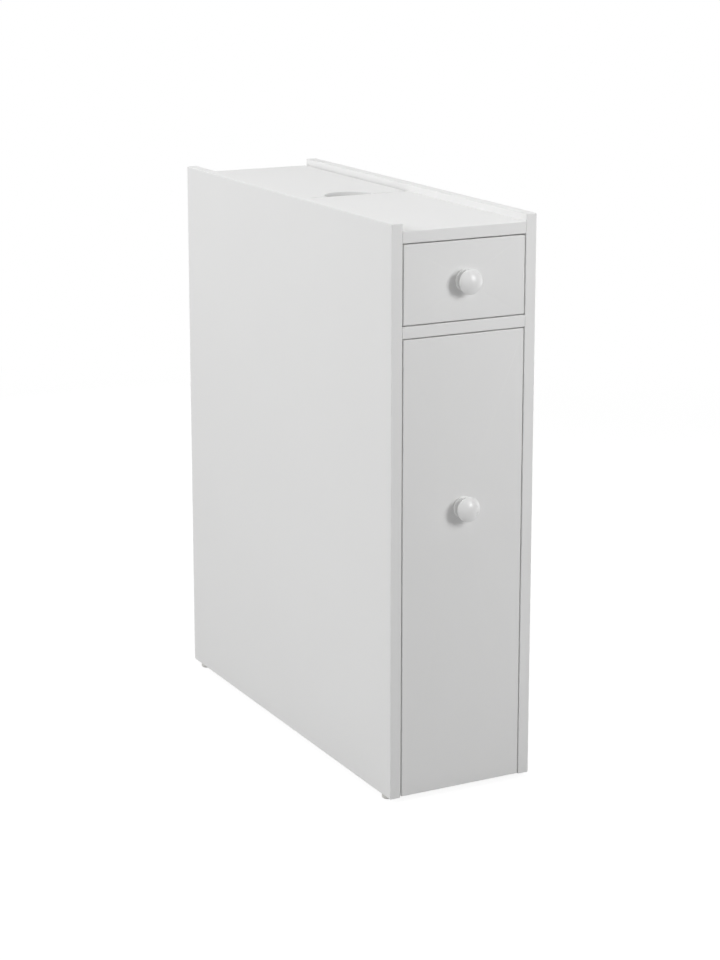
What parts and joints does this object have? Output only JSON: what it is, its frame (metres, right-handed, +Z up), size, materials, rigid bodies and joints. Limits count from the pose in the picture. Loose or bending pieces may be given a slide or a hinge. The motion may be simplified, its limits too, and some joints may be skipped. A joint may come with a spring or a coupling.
{
  "type": "bathroom cabinet",
  "caption": "Slim white bathroom side cabinet with a flap lid over a tissue bin, a small drawer and a tall pull-out on castors, standing on round glides.",
  "frame": {"origin": "on the floor, in the middle of the footprint with the knobs counted in", "axes": "+X to the right seen from the front, -Y to the front, +Z up"},
  "size_m": [0.16, 0.498, 0.58],
  "materials": {
    "painted_board": "satin white paint on fibreboard",
    "inner_board": "matt white foil on fibreboard",
    "hardboard": "thin hardboard, white on its inner face",
    "knob_paint": "semi-gloss white paint on turned wood",
    "steel": "zinc plated steel",
    "beech": "plain beech",
    "nylon": "natural white nylon",
    "wheel_plastic": "moulded black plastic"
  },
  "bodies": {
    "carcass": {"side_panel_left": "painted_board", "side_panel_right": "painted_board", "top_panel": "painted_board", "middle_shelf": "painted_board", "partition": "inner_board", "back_panel": "hardboard", "rear_stretcher": "inner_board", "glides": "nylon", "glide_nails": "steel", "carcass_cam_bolts": "steel", "carcass_cam_discs": "steel", "carcass_dowels": "beech", "pivot_bushes": "nylon"},
    "lid": {"lid": "painted_board", "lid_pins": "steel"},
    "drawer": {"drawer_front": "painted_board", "drawer_side_left": "inner_board", "drawer_side_right": "inner_board", "drawer_back": "inner_board", "drawer_bottom": "hardboard", "drawer_dowels": "beech", "drawer_screws": "steel", "drawer_knob": "knob_paint", "drawer_knob_screw": "steel"},
    "pullout": {"pullout_front": "painted_board", "pullout_base": "inner_board", "pullout_divider": "inner_board", "pullout_back": "inner_board", "pullout_shelf": "inner_board", "shelf_pins": "steel", "guard_rail_lower_left": "inner_board", "guard_rail_lower_right": "inner_board", "guard_rail_upper_left": "inner_board", "guard_rail_upper_right": "inner_board", "guard_rail_screws": "steel", "pullout_cam_bolts": "steel", "pullout_cam_discs": "steel", "pullout_dowels": "beech", "pullout_screws": "steel", "pullout_knob": "knob_paint", "pullout_knob_screw": "steel", "castor_bracket_front_left": "steel", "castor_bracket_front_right": "steel", "castor_bracket_rear_left": "steel", "castor_bracket_rear_right": "steel", "castor_axles": "steel", "castor_screws": "steel"},
    "wheel_front_left": {"castor_wheel_front_left": "wheel_plastic"},
    "wheel_front_right": {"castor_wheel_front_right": "wheel_plastic"},
    "wheel_rear_left": {"castor_wheel_rear_left": "wheel_plastic"},
    "wheel_rear_right": {"castor_wheel_rear_right": "wheel_plastic"}
  },
  "joints": [
    {"name": "lid_hinge", "type": "hinge", "parent": "carcass", "child": "lid", "pos_m": [0, 0.239, 0.5668], "axis": [-1, 0, 0], "range_deg": [0, 95]},
    {"name": "drawer_slide", "type": "slide", "parent": "carcass", "child": "drawer", "axis": [0, -1, 0], "range_m": [0, 0.18]},
    {"name": "pullout_slide", "type": "slide", "parent": "carcass", "child": "pullout", "axis": [0, -1, 0], "range_m": [0, 0.4]},
    {"name": "wheel_front_left_spin", "type": "hinge", "parent": "pullout", "child": "wheel_front_left", "pos_m": [-0.0505, -0.179, 0.0125], "axis": [1, 0, 0], "continuous": true},
    {"name": "wheel_front_right_spin", "type": "hinge", "parent": "pullout", "child": "wheel_front_right", "pos_m": [0.0505, -0.179, 0.0125], "axis": [1, 0, 0], "continuous": true},
    {"name": "wheel_rear_left_spin", "type": "hinge", "parent": "pullout", "child": "wheel_rear_left", "pos_m": [-0.0505, 0.175, 0.0125], "axis": [1, 0, 0], "continuous": true},
    {"name": "wheel_rear_right_spin", "type": "hinge", "parent": "pullout", "child": "wheel_rear_right", "pos_m": [0.0505, 0.175, 0.0125], "axis": [1, 0, 0], "continuous": true}
  ],
  "couplings": [
    {"joint": "wheel_front_left_spin", "follows": "pullout_slide", "rad_per_m": 80},
    {"joint": "wheel_front_right_spin", "follows": "pullout_slide", "rad_per_m": 80},
    {"joint": "wheel_rear_left_spin", "follows": "pullout_slide", "rad_per_m": 80},
    {"joint": "wheel_rear_right_spin", "follows": "pullout_slide", "rad_per_m": 80}
  ]
}
